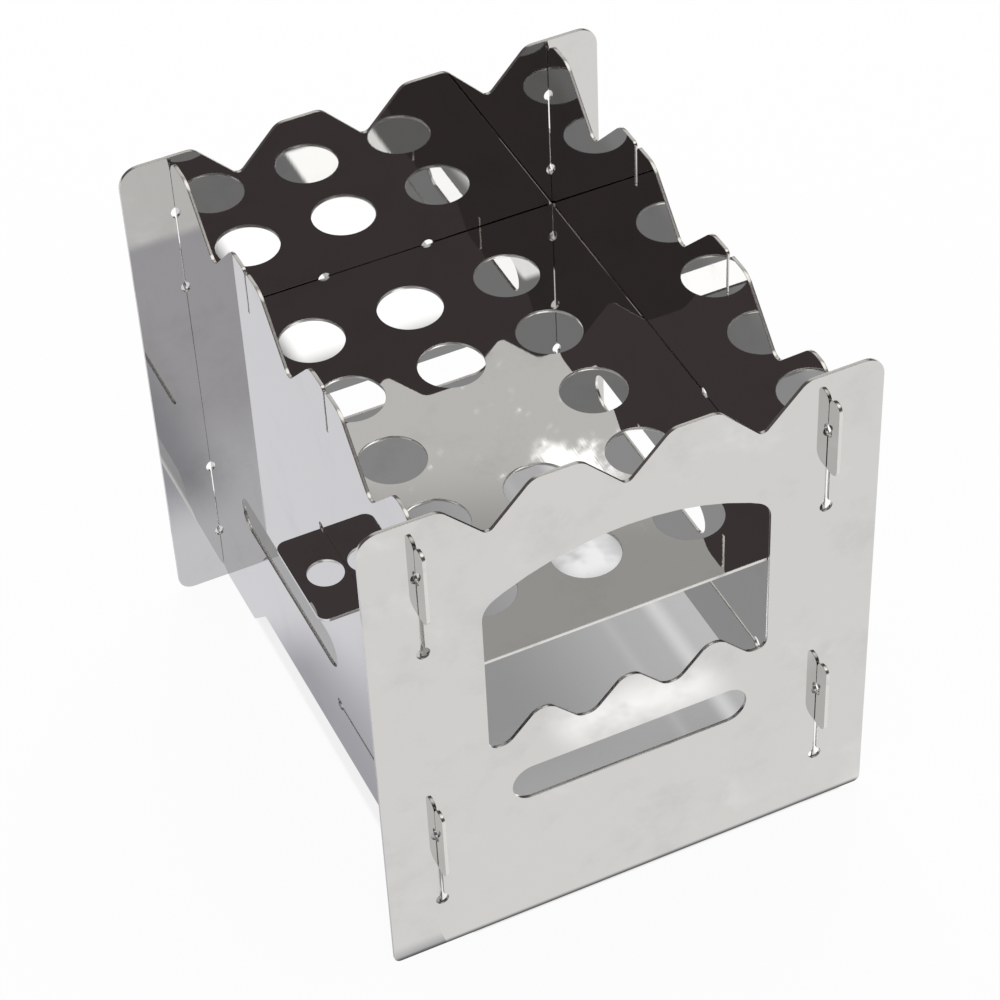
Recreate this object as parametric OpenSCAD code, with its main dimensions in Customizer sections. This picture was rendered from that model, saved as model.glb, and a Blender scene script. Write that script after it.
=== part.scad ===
// Flat-pack hobo stove: four slotted steel panels that hook together round a fire grate.
// Millimetres, +Z up. The origin is on the ground under the middle of the stove, and the
// stoking door faces -Y.

/* [Sheet and slots] */
// Thickness of the steel sheet
sheet_t = 1; // [0.8:0.1:1.2]
// Play on each side of a sheet that stands in a slot or slit
slot_play = 0.15; // [0.1:0.05:0.25]
// Gap between the edge of one sheet and the face of the next
seat_gap = 0.3; // [0.25:0.05:0.4]
// Diameter of the relief hole at each end of a slot or slit
relief_d = 3.8; // [2.8:0.1:4.2]

/* [Stove body] */
// Height of the front and back panels
panel_h = 160; // [156:1:190]
// Width of the front and back panels
panel_w = 145; // [138:0.5:170]
// Depth over the outer faces of the front and back panels
body_d = 162; // [158:1:180]
// Distance between the middle planes of the two side panels
side_span = 114.5; // [106:0.5:120]
// Radius of the top corners of the front and back panels
panel_corner_r = 6; // [2:0.5:9]
// Radius of the two lower corners of the front panel
front_foot_r = 2; // [1:0.5:9]
// Radius of the two lower corners of the back panel
back_foot_r = 4.5; // [1:0.5:9]

/* [Teeth of the front and back panels] */
// Distance from a panel's side edge to the middle of the nearest notch
end_notch_inset = 34.5; // [32.5:0.1:36.5]
// Width of a notch between the points where its flanks would meet the top edge
end_notch_mouth = 24.8; // [20:0.2:28]
// Depth of the point where the flanks of a notch would meet
end_notch_depth = 13; // [8:0.1:15]
// Radius of the rounded tooth tops
end_tooth_r = 5; // [1:0.1:9]
// Radius of the rounded notch floors
end_notch_r = 2; // [1:0.1:4]

/* [Teeth of the side panels] */
// Distance from a panel's front end to the middle of its first notch
side_front_inset = 26; // [25:0.1:29]
// Distance from a panel's back end to the middle of its last notch
side_back_inset = 28.4; // [25:0.1:31]
// Width of a notch between the points where its flanks would meet the top edge
side_notch_mouth = 33.4; // [24:0.2:36]
// Depth of the point where the flanks of a notch would meet
side_notch_depth = 17.2; // [10:0.1:19]
// Radius of the rounded tooth tops
side_tooth_r = 7; // [1:0.1:9]
// Radius of the rounded notch floors
side_notch_r = 3.1; // [1:0.1:5]
// Radius of the top corners of the side panels
side_corner_r = 5; // [1:0.5:6]
// Depth of the slit for a pot bar in each whole tooth
bar_slit_depth = 14; // [8:0.5:20]
// Radius of the two corners at the mouth of a pot bar slit
bar_slit_mouth_r = 1.5; // [0.5:0.1:3]

/* [Hooks] */
// Length of a hook slot, between the middles of its relief holes
hook_slot_len = 26.5; // [25:0.5:30]
// Distance from a panel's top or bottom edge to the middle of the nearest relief hole
hook_slot_inset = 19; // [16.5:0.5:22]
// Height of the neck that joins a hook to its side panel
hook_neck_h = 13; // [11:0.5:14]
// Length by which a hook is shorter than its slot
hook_ease = 2; // [1:0.5:4]
// Distance that a hook stands out past the panel it holds
hook_out = 5.2; // [4.8:0.2:9]
// Radius of the hook's top corner beside the panel it holds
hook_lead_r = 2.7; // [1:0.1:4]
// Radius of the hook's outer top corner
hook_top_r = 2.1; // [1:0.1:4]
// Radius of the hook's corner at its neck end
hook_foot_r = 2.8; // [0.5:0.1:4]

/* [Stoking door] */
// Width of the door
door_w = 82; // [80:1:88]
// Height of the door's sill above the ground
door_sill_z = 70; // [66:1:74]
// Distance from the panel's top edge to the top of the door's arch
door_top_inset = 26.6; // [24:0.2:35]
// Radius of the door's arch
door_arch_r = 80; // [70:1:110]
// Radius where the arch meets the door's sides
door_shoulder_r = 7; // [2:0.5:9]
// Radius of the door's lower corners
door_corner_r = 3; // [1:0.5:4]
// Distance between neighbouring peaks along the sill
sill_peak_pitch = 25; // [23:0.5:25.5]
// Height of the peaks along the sill
sill_peak_h = 8.6; // [6:0.2:11]
// Width of the top of a peak and of a hollow before their edges are rounded
sill_peak_top = 4.3; // [2:0.1:5]
// Radius of the rounded peaks and hollows of the sill
sill_peak_r = 4.6; // [1:0.1:5]

/* [Air slots and feet] */
// Length of an air slot
air_slot_len = 70; // [50:1:80]
// Height of the opening of an air slot
air_slot_h = 12; // [8:0.5:14]
// Height of the middle of the air slots above the ground
air_slot_z = 52; // [50:1:54]
// Distance of a side panel's air slot behind the middle of the panel
side_air_shift = 18.5; // [10:0.5:24]
// Height of the side panels' feet above the ground
foot_lift = 3; // [1:0.5:5]
// Length of the flat top of the cut-out between the two feet of a side panel
undercut_len = 89; // [60:1:100]
// Height of the top of the cut-out above the ground
undercut_z = 14; // [9:0.5:16]
// Radius of the corners of the cut-out
undercut_r = 4; // [1:0.5:6]
// Radius of the corners of the feet
foot_r = 3; // [1:0.5:5]

/* [Grate] */
// Height of the grate's middle plane above the ground
grate_z = 101.5; // [98:0.5:106]
// Height of the middle of the slits for the grate's lower place
lower_grate_z = 33; // [31:0.5:38]
// Length of each tab of the grate
grate_tab_len = 32; // [28:1:36]
// Distance from the front panel's outer face to the front end of the side tabs
grate_tab_start = 33.5; // [28:0.5:40]
// Distance that the handle tab stands out past the left panel
handle_out = 13.9; // [12.5:0.1:16]
// Radius of the corners of the handle tab
handle_r = 3; // [1:0.5:5]
// Diameter of the finger hole in the handle tab
finger_hole_d = 10; // [6:0.5:10.5]
// Distance from the left panel's outer face to the middle of the finger hole
finger_hole_out = 5.8; // [5.6:0.1:6.5]
// Distance that the right and back tabs stand out past their panels
grate_tab_out = 3; // [1:0.5:6]
// Radius of the corners of the plate and of its small tabs
grate_corner_r = 1.5; // [0.5:0.1:2.5]
// Diameter of the holes in the plate
ember_hole_d = 19.2; // [14:0.2:23]
// Rows of holes from front to back
ember_rows = 5; // [3:1:5]
// Columns of holes from side to side
ember_cols = 3; // [2:1:3]
// Distance from the plate's front and back edges to the middle of the nearest holes
ember_row_inset = 23.7; // [22:0.1:26]
// Distance from the plate's side edges to the middle of the nearest holes
ember_col_inset = 26; // [24:0.1:28]

/* [Hidden] */
overrun = 2;
arc_steps = 8;
arch_steps = 12;
fillet_share = 0.95;
$fn = 64;
front_y = -body_d / 2;
back_y = body_d / 2;
inner_front_y = front_y + sheet_t + seat_gap;
inner_back_y = back_y - sheet_t - seat_gap;
slot_w = sheet_t + 2 * slot_play;
side_x = side_span / 2;
end_notch_pitch = panel_w / 2 - end_notch_inset;
side_notch_pitch = inner_back_y - (side_front_inset + side_back_inset) / 2;
side_notch_mid = (side_front_inset - side_back_inset) / 2;
hook_len = hook_slot_len - hook_ease;
hook_slot_zs = [hook_slot_inset, panel_h - hook_slot_inset - hook_slot_len];
side_tab_y = front_y + grate_tab_start + grate_tab_len / 2;
grate_slit_len = grate_tab_len + 2 * seat_gap;
grate_half_w = side_x - sheet_t / 2 - seat_gap;
ember_row_pitch = 2 * (inner_back_y - ember_row_inset) / (ember_rows - 1);
ember_col_pitch = 2 * (grate_half_w - ember_col_inset) / (ember_cols - 1);

function unit(v) = v / norm(v);
function flat(p) = [p[0], p[1]];
function shortest_turn(a) = a > 180 ? a - 360 : a < -180 ? a + 360 : a;

// Length that the rounding of the corner b takes from each of its two edges
function taken(a, b, c) =
    let (u = unit(flat(a) - flat(b)), v = unit(flat(c) - flat(b)))
    b[2] / tan(acos(u * v) / 2);

// Points of the arc of radius r that rounds the corner b between its neighbours a and c
function corner_arc(a, b, c, r) =
    let (u = unit(a - b), v = unit(c - b))
    let (half = acos(u * v) / 2)
    let (middle = b + unit(u + v) * r / sin(half))
    let (from = b + u * r / tan(half) - middle, to = b + v * r / tan(half) - middle)
    let (start = atan2(from[1], from[0]))
    let (turn = shortest_turn(atan2(to[1], to[0]) - start))
    [for (i = [0:arc_steps]) let (at = start + turn * i / arc_steps) middle + r * [cos(at), sin(at)]];

// The outline through corners given as [x, y, radius], where a radius of 0 leaves a sharp corner.
// Two roundings that need more than fillet_share of the edge between them are made smaller alike.
function rounded(corners) =
    let (n = len(corners))
    let (used = [for (i = [0:n - 1]) taken(corners[(i + n - 1) % n], corners[i], corners[(i + 1) % n])])
    let (edges = [for (i = [0:n - 1]) norm(flat(corners[(i + 1) % n]) - flat(corners[i]))])
    let (fits = [for (i = [0:n - 1])
        let (need = used[i] + used[(i + 1) % n], room = edges[i] * fillet_share)
        need > room ? room / need : 1])
    [for (i = [0:n - 1])
        let (a = corners[(i + n - 1) % n], b = corners[i], c = corners[(i + 1) % n])
        let (r = b[2] * min(fits[i], fits[(i + n - 1) % n]))
        each r > 0 ? corner_arc(flat(a), flat(b), flat(c), r) : [flat(b)]];

// Corners of one notch in the top edge at height h, from right to left
function notch(x, h, mouth, depth, tooth_r, floor_r) = [
    [x + mouth / 2, h, tooth_r],
    [x, h - depth, floor_r],
    [x - mouth / 2, h, tooth_r]];

// Corners of one pot bar slit in the top edge at height h, from right to left
function bar_slit(x, h) = [
    [x + slot_w / 2, h, bar_slit_mouth_r],
    [x + slot_w / 2, h - bar_slit_depth, 0],
    [x - slot_w / 2, h - bar_slit_depth, 0],
    [x - slot_w / 2, h, bar_slit_mouth_r]];

// A slot one sheet wide from point a to point b, with a relief hole round each end
module relieved_slot(a, b) {
    across = [a[1] - b[1], b[0] - a[0]] / norm(b - a) * slot_w / 2;
    polygon([a + across, b + across, b - across, a - across]);
    for (end = [a, b]) translate(end) circle(d = relief_d);
}

module air_slot() {
    square([air_slot_len - air_slot_h, air_slot_h], center = true);
    for (side = [-1, 1]) translate([side * (air_slot_len - air_slot_h) / 2, 0]) circle(d = air_slot_h);
}

// Front or back panel drawn flat, with its width along X and its height along Y
module end_sheet(foot_corner_r) {
    half = panel_w / 2;
    difference() {
        polygon(rounded([
            [-half, 0, foot_corner_r],
            [half, 0, foot_corner_r],
            [half, panel_h, panel_corner_r],
            for (k = [1, 0, -1]) each notch(k * end_notch_pitch, panel_h, end_notch_mouth,
                                            end_notch_depth, end_tooth_r, end_notch_r),
            [-half, panel_h, panel_corner_r]]));
        translate([0, air_slot_z]) air_slot();
        for (x = [-side_x, side_x], z = hook_slot_zs) relieved_slot([x, z], [x, z + hook_slot_len]);
    }
}

// One peak of the door's sill, from left to right
function sill_peak(x) =
    let (run = sill_peak_pitch / 2, top = sill_peak_top / 2)
    [[x - run + top, door_sill_z, sill_peak_r],
     [x - top, door_sill_z + sill_peak_h, sill_peak_r],
     [x + top, door_sill_z + sill_peak_h, sill_peak_r],
     [x + run - top, door_sill_z, sill_peak_r]];

module door() {
    half = door_w / 2;
    arch_z = panel_h - door_top_inset - door_arch_r;
    spread = asin(half / door_arch_r);
    shoulder_z = arch_z + door_arch_r * cos(spread);
    polygon(rounded([
        [-half, door_sill_z, door_corner_r],
        for (k = [-1:1]) each sill_peak(k * sill_peak_pitch),
        [half, door_sill_z, door_corner_r],
        [half, shoulder_z, door_shoulder_r],
        for (i = [1:arch_steps - 1])
            let (at = spread * (1 - 2 * i / arch_steps))
            [door_arch_r * sin(at), arch_z + door_arch_r * cos(at), 0],
        [-half, shoulder_z, door_shoulder_r]]));
}

module upright(y) {
    translate([0, y + sheet_t, 0]) rotate([90, 0, 0]) linear_extrude(sheet_t) children();
}

module front_panel() {
    color("gainsboro") upright(front_y) difference() {
        end_sheet(front_foot_r);
        door();
    }
}

module back_panel() {
    color("silver") upright(back_y - sheet_t) difference() {
        end_sheet(back_foot_r);
        relieved_slot([-grate_slit_len / 2, grate_z], [grate_slit_len / 2, grate_z]);
        relieved_slot([-grate_slit_len / 2, lower_grate_z], [grate_slit_len / 2, lower_grate_z]);
    }
}

// A hook past the panel whose outer face is at x = 0, drawn towards -X and open upwards.
// The panel stands behind the hook's finger, on the neck that starts at y = 0.
module hook() {
    root = sheet_t + seat_gap + overrun;
    polygon(rounded([
        [-hook_out, 0, hook_foot_r],
        [root, 0, 0],
        [root, hook_neck_h, 0],
        [-slot_play, hook_neck_h, 0],
        [-slot_play, hook_len, hook_lead_r],
        [-hook_out, hook_len, hook_top_r]]));
}

// Corners of the three notches and the two pot bar slits between them, from back to front
function side_teeth() = [
    for (k = [1, 0, -1]) each [
        each notch(side_notch_mid + k * side_notch_pitch, panel_h, side_notch_mouth,
                   side_notch_depth, side_tooth_r, side_notch_r),
        if (k > -1) each bar_slit(side_notch_mid + (k - 1 / 2) * side_notch_pitch, panel_h)]];

// Side panel drawn flat, with the depth of the stove along X and its height along Y
module side_sheet() {
    edge = inner_back_y;
    cut = undercut_len / 2;
    mouth = cut + undercut_z - foot_lift;
    difference() {
        union() {
            polygon(rounded([
                [-edge, foot_lift, foot_r],
                [-mouth, foot_lift, foot_r],
                [-cut, undercut_z, undercut_r],
                [cut, undercut_z, undercut_r],
                [mouth, foot_lift, foot_r],
                [edge, foot_lift, foot_r],
                [edge, panel_h, side_corner_r],
                each side_teeth(),
                [-edge, panel_h, side_corner_r]]));
            for (z = hook_slot_zs) {
                translate([front_y, z + hook_slot_len - hook_neck_h]) hook();
                translate([back_y, z + hook_neck_h]) rotate(180) hook();
            }
        }
        for (z = hook_slot_zs) {
            translate([front_y, z + hook_slot_len]) circle(d = relief_d);
            translate([back_y, z]) circle(d = relief_d);
        }
        translate([side_air_shift, air_slot_z]) air_slot();
        for (z = [grate_z, lower_grate_z])
            relieved_slot([side_tab_y - grate_slit_len / 2, z], [side_tab_y + grate_slit_len / 2, z]);
    }
}

module side_panel(x) {
    translate([x - sheet_t / 2, 0, 0]) rotate([90, 0, 90]) linear_extrude(sheet_t) side_sheet();
}

module left_panel() {
    color("lightsteelblue") side_panel(-side_x);
}

module right_panel() {
    color("lightsteelblue") side_panel(side_x);
}

// A rectangle with rounded corners from its low corner to its high corner
module rounded_rect(low, high, r) {
    polygon(rounded([
        [low[0], low[1], r],
        [high[0], low[1], r],
        [high[0], high[1], r],
        [low[0], high[1], r]]));
}

// The plate has no hole in its middle, where the middle row and the middle column cross
function ember_hole_at(column, row) = 2 * column != ember_cols - 1 || 2 * row != ember_rows - 1;

module grate() {
    wall_x = side_x + sheet_t / 2;
    half_tab = grate_tab_len / 2;
    color("dimgray") translate([0, 0, grate_z - sheet_t / 2]) linear_extrude(sheet_t) difference() {
        union() {
            rounded_rect([-grate_half_w, inner_front_y], [grate_half_w, inner_back_y], grate_corner_r);
            rounded_rect([-wall_x - handle_out, side_tab_y - half_tab],
                         [overrun - grate_half_w + handle_r, side_tab_y + half_tab], handle_r);
            rounded_rect([grate_half_w - overrun - grate_corner_r, side_tab_y - half_tab],
                         [wall_x + grate_tab_out, side_tab_y + half_tab], grate_corner_r);
            rounded_rect([-half_tab, inner_back_y - overrun - grate_corner_r],
                         [half_tab, back_y + grate_tab_out], grate_corner_r);
        }
        translate([-wall_x - finger_hole_out, side_tab_y]) circle(d = finger_hole_d);
        for (i = [0:ember_cols - 1], j = [0:ember_rows - 1]) if (ember_hole_at(i, j))
            translate([(i - (ember_cols - 1) / 2) * ember_col_pitch,
                       (j - (ember_rows - 1) / 2) * ember_row_pitch])
                circle(d = ember_hole_d);
    }
}

front_panel();
back_panel();
left_panel();
right_panel();
grate();
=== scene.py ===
from math import radians

import bpy
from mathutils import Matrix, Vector


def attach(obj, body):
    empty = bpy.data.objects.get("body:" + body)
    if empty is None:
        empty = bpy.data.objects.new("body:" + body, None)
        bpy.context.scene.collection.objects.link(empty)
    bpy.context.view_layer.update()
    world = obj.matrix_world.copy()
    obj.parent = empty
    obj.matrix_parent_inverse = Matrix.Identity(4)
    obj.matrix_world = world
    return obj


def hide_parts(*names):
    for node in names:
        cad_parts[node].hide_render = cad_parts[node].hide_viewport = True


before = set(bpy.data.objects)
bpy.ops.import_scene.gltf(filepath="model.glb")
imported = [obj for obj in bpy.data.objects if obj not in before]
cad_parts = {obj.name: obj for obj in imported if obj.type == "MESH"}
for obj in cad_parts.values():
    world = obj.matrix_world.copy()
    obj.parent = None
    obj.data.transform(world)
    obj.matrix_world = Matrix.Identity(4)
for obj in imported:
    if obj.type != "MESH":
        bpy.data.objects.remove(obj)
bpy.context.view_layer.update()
print("Loaded the frame:", ", ".join(sorted(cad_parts)))


def deselectAll():
    if bpy.context.object and bpy.context.object.mode != "OBJECT":
        bpy.ops.object.mode_set(mode="OBJECT")
    bpy.ops.object.select_all(action="DESELECT")


def selectOnly(piece):
    deselectAll()
    piece.select_set(True)
    bpy.context.view_layer.objects.active = piece


# Shader maths: a Link is one output of a node, and sums on it add Math nodes.
class Link:
    def __init__(self, graph, socket):
        self.graph = graph
        self.socket = socket

    def maths(self, operation, *values):
        return self.graph.node("ShaderNodeMath", {"operation": operation}, dict(enumerate(values)))

    def __add__(self, other):
        return self.maths("ADD", self, other)

    def __radd__(self, other):
        return self.maths("ADD", other, self)

    def __sub__(self, other):
        return self.maths("SUBTRACT", self, other)

    def __rsub__(self, other):
        return self.maths("SUBTRACT", other, self)

    def __mul__(self, other):
        return self.maths("MULTIPLY", self, other)

    def __rmul__(self, other):
        return self.maths("MULTIPLY", other, self)

    def __lt__(self, other):
        return self.maths("LESS_THAN", self, other)

    def __abs__(self):
        return self.maths("ABSOLUTE", self)

    def most(self, other):
        return self.maths("MAXIMUM", self, other)

    # a soft step from 0 to 1, between the two places
    def rise(self, low, high):
        return self.step(low, high, 0.0, 1.0)

    # a soft step from 1 to 0
    def fall(self, low, high):
        return self.step(low, high, 1.0, 0.0)

    def step(self, low, high, before, after):
        settings = {"interpolation_type": "SMOOTHSTEP", "clamp": True}
        return self.graph.node("ShaderNodeMapRange", settings, {
            "Value": self, "From Min": low, "From Max": high, "To Min": before, "To Max": after})


class Graph:
    def __init__(self, owner):
        owner.use_nodes = True
        self.tree = owner.node_tree
        self.tree.nodes.clear()

    # settings go in first, then the sockets' values or links
    # output names the socket that comes back
    def node(self, kind, settings=None, sockets=None, output=0):
        made = self.tree.nodes.new(kind)
        for name, value in (settings or {}).items():
            setattr(made, name, value)
        for name, value in (sockets or {}).items():
            self.join(value, made.inputs[name])
        return Link(self, made.outputs[output]) if len(made.outputs) else None

    def join(self, value, socket):
        if isinstance(value, Link):
            self.tree.links.new(value.socket, socket)
        else:
            socket.default_value = value

    def place(self):
        return self.node("ShaderNodeTexCoord", output="Object")

    def parts(self, vector):
        return [self.node("ShaderNodeSeparateXYZ", {}, {0: vector}, axis) for axis in "XYZ"]

    def stretched(self, vector, scale):
        return self.node("ShaderNodeVectorMath", {"operation": "MULTIPLY"}, {0: vector, 1: scale})

    def towards(self, vector, way):
        return self.node("ShaderNodeVectorMath", {"operation": "DOT_PRODUCT"},
                         {0: vector, 1: Vector(way).normalized()}, "Value")

    # grain is the noise's detail and roughness
    def noise(self, vector, size, grain):
        return self.node("ShaderNodeTexNoise", {}, {
            "Vector": vector, "Scale": 1 / size, "Detail": grain[0], "Roughness": grain[1]}, "Fac")

    def bump(self, height, distance, sockets):
        return self.node("ShaderNodeBump", {}, {
            "Height": height, "Strength": 1.0, "Distance": distance, **sockets})

    def ray(self, kind):
        return self.node("ShaderNodeLightPath", output=kind)

    def blend(self, share, first, second):
        mixed = self.tree.nodes.new("ShaderNodeMix")
        mixed.data_type = "RGBA"
        colourInputs = [socket for socket in mixed.inputs if socket.type == "RGBA"]
        self.join(share, mixed.inputs["Factor"])
        self.join(first, colourInputs[0])
        self.join(second, colourInputs[1])
        return Link(self, [socket for socket in mixed.outputs if socket.type == "RGBA"][0])


# Polished steel sheet, as bought: a mirror with faint waves, hairlines and fingermarks. The panels
# also get a painted shade line inside.
sheetLook = {
    "light": (0.622, 0.618, 0.610, 1), "dull": (0.57, 0.565, 0.56, 1),
    "mirror": 0.012, "smudged": 0.06,
    "waveSize": 0.045, "waveGrain": (1.0, 0.4), "waveHeight": 0.000012,
    "hairSpacing": 0.0006, "hairLength": 0.03, "hairGrain": (2.0, 0.5), "hairHeight": 0.0000005,
    "hairRoughness": 0.006,
    # fingermarks, broken up by a finer pattern
    "smudgeSize": 0.022, "smudgeGrain": (5.0, 0.62), "smudgeStep": (0.50, 0.72),
    "brokenSize": 0.00275, "brokenGrain": (3.0, 0.6), "plainShare": 0.45, "brokenShare": 0.55,
    # painted shade: a dark line on the inner walls where the grate's edge faces them
    "seamShade": (0.16, 0.14, 0.14, 1), "seamShadeHeight": 0.1007, "seamShadeHalf": 0.0011, "seamShadeEdge": 0.0002,
    "wallMiddles": (0.0572, 0.0805),
}


# walled is 1 on the panels, which get the painted shade line, and 0 on the grate
def sheetSteel(name, grain, walled):
    material = bpy.data.materials.new(name)
    look = sheetLook
    graph = Graph(material)
    place = graph.place()
    smudges = graph.noise(place, look["smudgeSize"], look["smudgeGrain"]).rise(*look["smudgeStep"])
    broken = graph.noise(place, look["brokenSize"], look["brokenGrain"])
    dulled = smudges * (look["plainShare"] + broken * look["brokenShare"])
    across = [1 / look["hairSpacing"]] * 3
    across[grain] = 1 / look["hairLength"]
    hairs = graph.noise(graph.stretched(place, across), 1.0, look["hairGrain"])
    waves = graph.noise(place, look["waveSize"], look["waveGrain"])
    wavy = graph.bump(waves, look["waveHeight"], {})
    haired = graph.bump(hairs, look["hairHeight"], {"Normal": wavy})
    roughness = look["mirror"] + dulled * (look["smudged"] - look["mirror"])
    roughness = roughness + hairs * look["hairRoughness"]
    x, y, z = graph.parts(place)
    # the painted shade line: a dark band inside the walls, at the height of the grate's edge
    within = (abs(x) < look["wallMiddles"][0]) * (abs(y) < look["wallMiddles"][1]) * walled
    fromSeamShade = abs(z - look["seamShadeHeight"])
    seamShade = within * fromSeamShade.fall(look["seamShadeHalf"], look["seamShadeHalf"] + look["seamShadeEdge"])
    steel = graph.blend(dulled, look["light"], look["dull"])
    shader = graph.node("ShaderNodeBsdfPrincipled", {}, {
        "Base Color": graph.blend(seamShade, steel, look["seamShade"]),
        "Metallic": 1.0, "Roughness": roughness, "Normal": haired})
    graph.node("ShaderNodeOutputMaterial", {}, {"Surface": shader})
    return material


# The edge that the cutting beam leaves: paler and rougher than the sheet, with fine lines across it
cutLook = {
    "colour": (0.72, 0.71, 0.69, 1), "roughness": 0.24,
    "lineSpacing": 0.0007, "lineGrain": (0.0, 0.5), "lineHeight": 0.000001, "lineRoughness": 0.04,
    "scorched": (0.42, 0.40, 0.38, 1), "stainSize": 1 / 90, "stainGrain": (3.0, 0.6),
    "stainStep": (0.52, 0.75), "stainShare": 0.6,
    # painted shade: darkened where the grate's edge lies against the walls, but not at its open
    # front
    "shaded": (0.16, 0.14, 0.14, 1), "shadedHeight": 0.1014, "shadedHalf": 0.0012,
    "wallMiddles": (0.0572, 0.0805), "openHalf": 0.054, "openBack": 0.077,
}


def cutSteel():
    material = bpy.data.materials.new("cut_edge")
    look = cutLook
    graph = Graph(material)
    place = graph.place()
    lines = graph.noise(place, look["lineSpacing"], look["lineGrain"])
    stains = graph.noise(place, look["stainSize"], look["stainGrain"]).rise(*look["stainStep"])
    colour = graph.blend(stains * look["stainShare"], look["colour"], look["scorched"])
    x, y, z = graph.parts(place)
    # the painted shade's mask: near the walls, at the grate's height, and not at the grate's open
    # front
    within = (abs(x) < look["wallMiddles"][0]) * (abs(y) < look["wallMiddles"][1])
    opened = (abs(x) < look["openHalf"]) * (y < look["openBack"])
    level = abs(z - look["shadedHeight"]) < look["shadedHalf"]
    shader = graph.node("ShaderNodeBsdfPrincipled", {}, {
        "Base Color": graph.blend(within * (1 - opened) * level, colour, look["shaded"]),
        "Metallic": 1.0, "Roughness": look["roughness"] + lines * look["lineRoughness"],
        "Normal": graph.bump(lines, look["lineHeight"], {})})
    graph.node("ShaderNodeOutputMaterial", {}, {"Surface": shader})
    return material


# normal is the axis across the sheet, and grain the axis that its hairlines run along
sheetPieces = {
    "front_panel": {"normal": 1, "grain": 2, "slot": "panel_steel", "body": "front"},
    "back_panel": {"normal": 1, "grain": 2, "slot": "panel_steel", "body": "frame"},
    "left_panel": {"normal": 0, "grain": 2, "slot": "panel_steel", "body": "frame"},
    "right_panel": {"normal": 0, "grain": 2, "slot": "panel_steel", "body": "frame"},
    "grate": {"normal": 2, "grain": 1, "slot": "grate_steel", "body": "frame"},
}
edgeBreak = {
    "width": 0.00007, "segments": 2, "sharpest": radians(50),
    "joined": 0.000002, "flat": radians(0.5),
    # how much of a face's normal points across the sheet:
    # under cutLean on a cut face, and over level on a flat one
    "cutLean": 0.5, "level": 0.9999,
}


# A merged copy of a CAD sheet. Its sharp rims are broken, and its cut faces have their own finish.
def dressSheet(node, facts, steel, cut):
    piece = bpy.data.objects.new("steel_" + node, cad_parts[node].data.copy())
    bpy.context.scene.collection.objects.link(piece)
    piece.data.materials.clear()
    piece.data.materials.append(steel)
    piece.data.materials.append(cut)
    selectOnly(piece)
    bpy.ops.object.mode_set(mode="EDIT")
    bpy.ops.mesh.select_all(action="SELECT")
    bpy.ops.mesh.remove_doubles(threshold=edgeBreak["joined"])
    bpy.ops.mesh.dissolve_limited(angle_limit=edgeBreak["flat"])
    bpy.ops.object.mode_set(mode="OBJECT")
    for face in piece.data.polygons:
        face.material_index = 1 if abs(face.normal[facts["normal"]]) < edgeBreak["cutLean"] else 0
    rim = piece.modifiers.new("rim", "BEVEL")
    rim.width = edgeBreak["width"]
    rim.segments = edgeBreak["segments"]
    rim.limit_method = "ANGLE"
    rim.angle_limit = edgeBreak["sharpest"]
    rim.material = 1
    bpy.ops.object.modifier_apply(modifier=rim.name)
    bpy.ops.object.shade_smooth_by_angle(angle=edgeBreak["sharpest"])
    for face in piece.data.polygons:
        if abs(face.normal[facts["normal"]]) > edgeBreak["level"]:
            face.use_smooth = False
    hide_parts(node)
    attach(piece, facts["body"])
    return piece


cut = cutSteel()
steels = {}
for node, facts in sheetPieces.items():
    key = (facts["slot"], facts["grain"])
    if key not in steels:
        name = "polished_" + facts["slot"] + "_" + "xyz"[facts["grain"]]
        steels[key] = sheetSteel(name, facts["grain"], 0 if node == "grate" else 1)
    dressed = dressSheet(node, facts, steels[key], cut)
    print("Dressed", dressed.name, "with", len(dressed.data.polygons), "faces")
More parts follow.
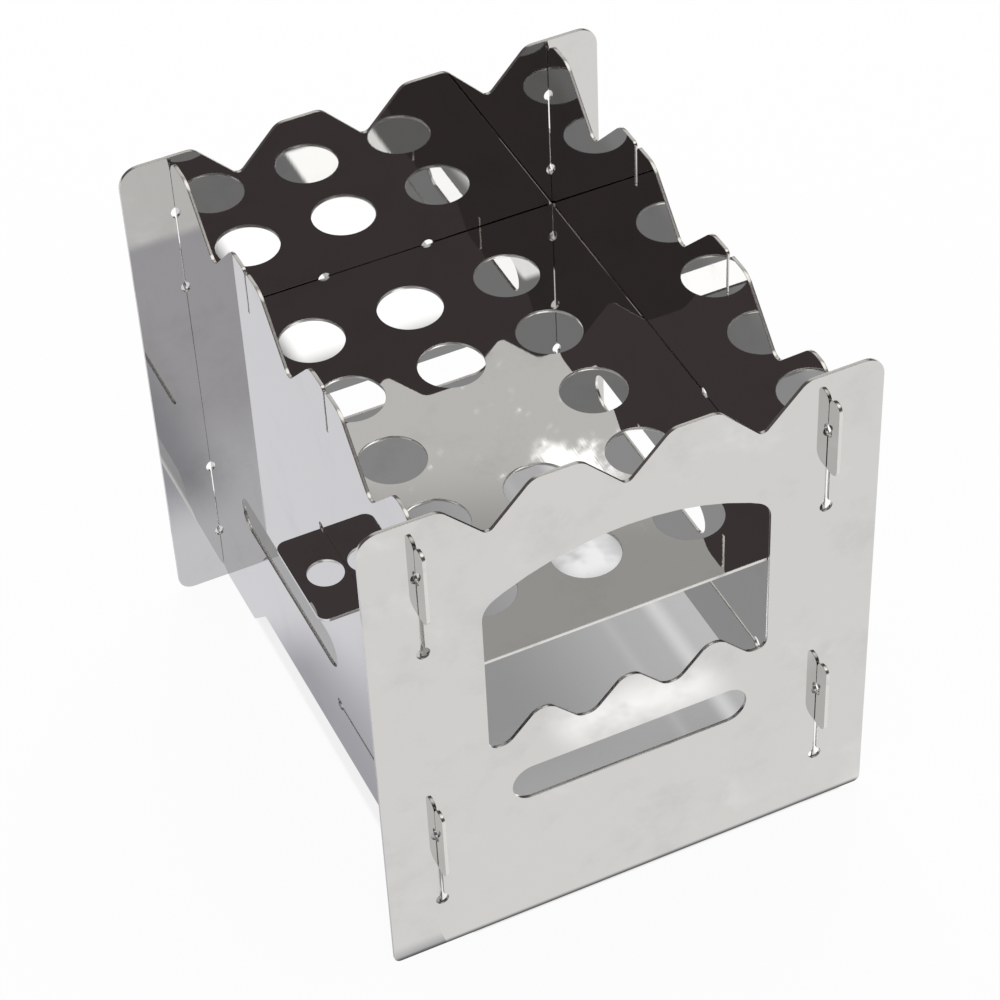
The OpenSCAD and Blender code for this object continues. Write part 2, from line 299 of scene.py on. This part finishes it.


# The floor is plain and pale, and white to the eye. Painted shade and light on it show in the
# mirrors, and under the stove to the eye as well. A pair is where a soft step starts and ends,
# and a spot is its middle, its half size and its softness.
floorLook = {
    "halfWidth": 3.0, "colour": (0.80, 0.80, 0.80, 1), "roughness": 0.8,
    "white": (1.0, 1.0, 1.0, 1), "openShare": 0.95, "underShare": 0.80,
    "cloudSize": 0.02, "cloudGrain": (3.0, 0.6),
    # the open floor, with a faint haze of painted light
    "plain": (1.0, 0.993, 0.98, 1), "haze": (1.12, 1.12, 1.12, 1),
    "hazeSize": 0.035, "hazeGrain": (4.0, 0.65), "hazeStep": (0.56, 0.80),
    # painted shade left of the stove: cooler, dimmer towards the front, and darkest along the left
    # panel
    "leftEdge": (-0.0572, -0.0568), "leftFront": (-0.086, -0.080),
    "cool": (0.84, 0.84, 0.88, 1), "coolDim": (0.65, 0.64, 0.68, 1), "dimStep": (0.0, 0.045),
    "foot": (0.46, 0.46, 0.50, 1), "footStep": (-0.082, -0.062), "footBack": (0.030, 0.060),
    # painted pools of light: behind the stove and to its right, where the light comes from, and in
    # front
    "bright": (1.5, 1.5, 1.5, 1), "backSpot": ((0.0, 0.130), (0.055, 0.035), 0.012),
    "rightSpot": ((0.086, -0.035), (0.018, 0.045), 0.006),
    "frontSpot": ((0.030, -0.136), (0.024, 0.007), 0.008), "frontClouds": (0.2, 0.55),
    # painted shade and light under the stove, as the eye sees it: dim on the left and lit on the
    # right, with two streaks of light
    "underSpot": ((0.00475, 0.0), (0.06125, 0.081), 0.0008), "openLeft": (-0.0495, -0.0485),
    "dark": (0.31, 0.31, 0.315, 1), "lit": (0.48, 0.48, 0.48, 1), "litStep": (-0.005, 0.045),
    "even": (0.41, 0.41, 0.41, 1), "evenStep": (-0.045, -0.015),
    "streaked": (0.74, 0.74, 0.74, 1), "faintStreak": (0.0365, 0.0010, 0.0026), "faintShare": 0.25,
    "strongStreak": (0.0520, 0.0022, 0.0024), "strongShare": 0.80,
    # paler at the far left, and a cloudy painted spot of light at the right
    "pale": (0.45, 0.45, 0.46, 1), "paleStep": (-0.034, -0.027),
    "holeSpot": ((0.045, 0.036), (0.010, 0.010), 0.006), "holeClouds": (0.38, 0.60),
    # under the stove, as the mirrors see it: they see its shade from close by, and the light that
    # pools on it from higher up
    "under": (0.37, 0.37, 0.375, 1), "pool": (1.7, 1.7, 1.7, 1), "poolClouds": (0.0, 0.35),
    "far": (0.100, 0.120), "near": (0.086, 0.092), "nearBack": (-0.007, -0.003),
    "poolLeft": (-0.004, 0.004), "poolBack": (0.006, 0.010), "poolFront": (-0.040, -0.030),
    "corner": (2.5, 2.5, 2.5, 1), "cornerSpot": ((0.0485, -0.0665), (0.0082, 0.0145), 0.0012),
    "cornerReach": (0.039, 0.042),
    # painted contact shadows: the dark lines where the front and back panels stand, in the mirrors
    "contact": (0.10, 0.10, 0.10, 1),
    "contactHalf": 0.0725, "contactLine": 0.081, "contactWidth": 0.0014,
}


# 1 on the band that reaches half to both sides of its middle, and 0 beyond its soft edge
def softBand(position, middle, half, edge):
    return abs(position - middle).fall(half - edge, half + edge)


def softBox(x, y, middle, half, edge):
    return softBand(x, middle[0], half[0], edge) * softBand(y, middle[1], half[1], edge)


def openFloor(graph, x, y, place, clouds):
    look = floorLook
    haze = graph.noise(place, look["hazeSize"], look["hazeGrain"]).rise(*look["hazeStep"])
    table = graph.blend(haze, look["plain"], look["haze"])
    left = graph.blend(y.rise(*look["dimStep"]), look["coolDim"], look["cool"])
    foot = x.rise(*look["footStep"]) * y.fall(*look["footBack"])
    left = graph.blend(foot, left, look["foot"])
    elsewhere = x.rise(*look["leftEdge"]).most(y.fall(*look["leftFront"]))
    table = graph.blend(elsewhere, left, table)
    spots = softBox(x, y, *look["backSpot"]).most(softBox(x, y, *look["rightSpot"]))
    spots = spots.most(softBox(x, y, *look["frontSpot"]) * clouds.rise(*look["frontClouds"]))
    return graph.blend(spots, table, look["bright"])


def underToTheEye(graph, x, y, clouds):
    look = floorLook
    streaks = softBand(x, *look["faintStreak"]) * look["faintShare"]
    streaks = streaks.most(softBand(x, *look["strongStreak"]) * look["strongShare"])
    shade = graph.blend(x.rise(*look["litStep"]), look["dark"], look["lit"])
    shade = graph.blend(y.rise(*look["evenStep"]), look["even"], shade)
    shade = graph.blend(streaks, shade, look["streaked"])
    shade = graph.blend(x.rise(*look["paleStep"]), look["pale"], shade)
    spot = softBox(x, y, *look["holeSpot"]) * clouds.rise(*look["holeClouds"])
    return graph.blend(spot, shade, look["white"])


def underToTheMirrors(graph, x, y, clouds):
    look = floorLook
    reach = graph.ray("Ray Length")
    shade = graph.blend(x.rise(*look["paleStep"]), look["pale"], look["under"])
    near = reach.rise(*look["near"]) * y.rise(*look["poolFront"]) * y.fall(*look["nearBack"])
    pooled = reach.rise(*look["far"]).most(near)
    pooled = pooled * x.rise(*look["poolLeft"]) * y.fall(*look["poolBack"])
    shade = graph.blend(pooled * clouds.rise(*look["poolClouds"]), shade, look["pool"])
    # a painted bright spot of light near the front right corner, seen by mirrors close by
    corner = softBox(x, y, *look["cornerSpot"]) * reach.fall(*look["cornerReach"])
    return graph.blend(corner, shade, look["corner"])


def makeFloor():
    deselectAll()
    bpy.ops.mesh.primitive_plane_add(size=2 * floorLook["halfWidth"], location=(0, 0, 0))
    floor = bpy.context.object
    floor.name = "floor"
    look = floorLook
    material = bpy.data.materials.new("floor_white")
    graph = Graph(material)
    place = graph.place()
    x, y = graph.parts(place)[:2]
    clouds = graph.noise(place, look["cloudSize"], look["cloudGrain"])
    under = softBox(x, y, *look["underSpot"])

    table = openFloor(graph, x, y, place, clouds)
    mirrored = graph.blend(under, table, underToTheMirrors(graph, x, y, clouds))
    # the painted contact shadow along the front and back panels' feet
    contact = abs(abs(y) - look["contactLine"]).fall(0.0, look["contactWidth"])
    contact = contact * softBand(x, 0.0, look["contactHalf"], look["contactWidth"])
    mirrored = graph.blend(contact, mirrored, look["contact"])
    shade = underToTheEye(graph, x, y, clouds)
    direct = graph.blend(under * x.rise(*look["openLeft"]), look["white"], shade)

    # the eye sees the glow and a little of the lit paint
    # the mirrors see the glow, and all else sees the paint
    glossy = graph.ray("Is Glossy Ray")
    seen = graph.ray("Is Camera Ray") + graph.ray("Is Transmission Ray")
    share = seen * (under * (look["underShare"] - look["openShare"]) + look["openShare"]) + glossy
    paint = graph.node("ShaderNodeBsdfPrincipled", {}, {"Base Color": look["colour"],
                                                        "Roughness": look["roughness"]})
    glow = graph.node("ShaderNodeEmission", {}, {"Color": graph.blend(glossy, direct, mirrored),
                                                 "Strength": 1.0})
    surface = graph.node("ShaderNodeMixShader", {}, {0: share, 1: paint, 2: glow})
    graph.node("ShaderNodeOutputMaterial", {}, {"Surface": surface})
    floor.data.materials.append(material)
    print("Laid the floor")


# The studio: white to the eye, and in the mirrors a dark room with a pale window behind the stove
# and a lamp above it. The window is dim at its top, and a ragged glare stands in it, among specks.
studioLook = {
    "white": (1.0, 1.0, 1.0, 1), "ambient": (0.75, 0.75, 0.76, 1), "room": (0.095, 0.077, 0.080, 1),
    # a light's soft edge is a step in the cosine of the angle from its middle
    "lamp": (1.3, 1.28, 1.22, 1), "lampWay": (0.27, -0.12, 0.955), "lampEdge": (0.870, 0.905),
    "window": (0.75, 0.74, 0.715, 1), "windowWay": (0.289, 0.669, 0.685),
    "windowEdge": (0.88, 0.93), "windowTop": (0.46, 0.45, 0.43, 1), "topEdge": (0.676, 0.700),
    "glare": (1.8, 1.8, 1.8, 1), "glareWay": (0.312, 0.659, 0.683), "glareEdge": (0.99989, 0.99997),
    "ragged": 0.00060, "raggedSize": 0.006, "raggedGrain": (4.0, 0.7), "raggedMiddle": 0.5,
    "speckSize": 0.003, "speckGrain": (2.0, 0.6), "speckStep": (0.68, 0.74),
    "speckEdge": (0.9980, 0.9992),
}
softboxFacts = {"size": 0.9, "watts": 9, "place": (0.45, 0.9, 1.1)}


def lightStudio():
    look = studioLook
    world = bpy.data.worlds.new("studio")
    bpy.context.scene.world = world
    graph = Graph(world)
    way = graph.node("ShaderNodeTexCoord", output="Generated")
    height = graph.parts(way)[2]
    fromGlare = graph.towards(way, look["glareWay"])
    rags = graph.noise(way, look["raggedSize"], look["raggedGrain"])
    glare = (fromGlare + (rags - look["raggedMiddle"]) * look["ragged"]).rise(*look["glareEdge"])
    specks = graph.noise(way, look["speckSize"], look["speckGrain"]).rise(*look["speckStep"])
    specks = specks * fromGlare.rise(*look["speckEdge"]) * height.fall(*look["topEdge"])
    pane = graph.blend(height.rise(*look["topEdge"]), look["window"], look["windowTop"])
    pane = graph.blend(glare.most(specks), pane, look["glare"])
    lit = graph.towards(way, look["lampWay"]).rise(*look["lampEdge"])
    glazed = graph.towards(way, look["windowWay"]).rise(*look["windowEdge"])
    room = graph.blend(glazed, graph.blend(lit, look["room"], look["lamp"]), pane)
    seen = graph.ray("Is Camera Ray") + graph.ray("Is Transmission Ray")
    plain = graph.blend(seen, look["ambient"], look["white"])
    colour = graph.blend(graph.ray("Is Glossy Ray"), plain, room)
    shader = graph.node("ShaderNodeBackground", {}, {"Color": colour, "Strength": 1.0})
    graph.node("ShaderNodeOutputWorld", {}, {"Surface": shader})

    lamp = bpy.data.lights.new("softbox", "AREA")
    lamp.shape = "RECTANGLE"
    lamp.size = softboxFacts["size"]
    lamp.size_y = softboxFacts["size"]
    lamp.energy = softboxFacts["watts"]
    softbox = bpy.data.objects.new("softbox", lamp)
    bpy.context.scene.collection.objects.link(softbox)
    softbox.location = softboxFacts["place"]
    softbox.rotation_euler = (-softbox.location).to_track_quat("-Z", "Y").to_euler()
    softbox.visible_glossy = False
    print("Lit the studio")


cameraFacts = {"place": (-0.2532, -0.5874, 0.6803), "turn": (45.93, 1.99, -25.56), "lens": 113.63,
               "sensor": 36, "shift": (-0.0122, 0.0296)}


def setCamera():
    lens = bpy.data.cameras.new("camera")
    lens.lens = cameraFacts["lens"]
    lens.sensor_width = cameraFacts["sensor"]
    lens.shift_x, lens.shift_y = cameraFacts["shift"]
    camera = bpy.data.objects.new("camera", lens)
    bpy.context.scene.collection.objects.link(camera)
    camera.location = cameraFacts["place"]
    camera.rotation_euler = [radians(angle) for angle in cameraFacts["turn"]]
    bpy.context.scene.camera = camera
    print("Set the camera")


makeFloor()
lightStudio()
setCamera()
bpy.context.scene.view_settings.view_transform = "Standard"
